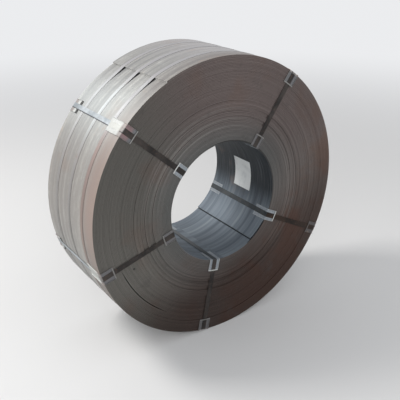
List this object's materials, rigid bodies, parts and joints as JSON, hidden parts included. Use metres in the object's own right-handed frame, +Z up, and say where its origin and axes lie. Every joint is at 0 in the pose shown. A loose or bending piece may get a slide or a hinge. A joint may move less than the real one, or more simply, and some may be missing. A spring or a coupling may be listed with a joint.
{
  "type": "steel strip coil",
  "caption": "Wound coil of steel strip lying on its side, strapped through the bore and round the outside, with bent corner guards under the straps.",
  "frame": {"origin": "middle of the footprint on the floor, under the coil", "axes": "+X right seen from the front face, +Y along the bore from the front face to the back face, +Z up"},
  "size_m": [1.7625, 0.6098, 1.7665],
  "materials": {
    "coil_steel": "hot-rolled strip with mill scale, brown rust bloom on the edges and pale streaks outside",
    "strap_steel": "blued strapping steel, worn bright in places",
    "guard_zinc": "galvanised sheet, lightly spangled",
    "seal_steel": "zinc-plated clip, dull",
    "label_sheet": "bare matt label, slightly soiled"
  },
  "bodies": {
    "root": {"coil": "coil_steel", "eye_strap_1": "strap_steel", "outer_guard_front_1": "guard_zinc", "outer_guard_back_1": "guard_zinc", "bore_guard_front_1": "guard_zinc", "bore_guard_back_1": "guard_zinc", "eye_seal_1": "seal_steel", "eye_strap_2": "strap_steel", "outer_guard_front_2": "guard_zinc", "outer_guard_back_2": "guard_zinc", "bore_guard_front_2": "guard_zinc", "bore_guard_back_2": "guard_zinc", "eye_seal_2": "seal_steel", "eye_strap_3": "strap_steel", "outer_guard_front_3": "guard_zinc", "outer_guard_back_3": "guard_zinc", "bore_guard_front_3": "guard_zinc", "bore_guard_back_3": "guard_zinc", "eye_seal_3": "seal_steel", "eye_strap_4": "strap_steel", "outer_guard_front_4": "guard_zinc", "outer_guard_back_4": "guard_zinc", "bore_guard_front_4": "guard_zinc", "bore_guard_back_4": "guard_zinc", "eye_seal_4": "seal_steel", "eye_strap_5": "strap_steel", "outer_guard_front_5": "guard_zinc", "outer_guard_back_5": "guard_zinc", "bore_guard_front_5": "guard_zinc", "bore_guard_back_5": "guard_zinc", "eye_seal_5": "seal_steel", "girth_strap_1": "strap_steel", "girth_seal_1": "seal_steel", "girth_strap_2": "strap_steel", "girth_seal_2": "seal_steel", "girth_strap_3": "strap_steel", "girth_seal_3": "seal_steel", "label": "label_sheet"}
  },
  "joints": []
}
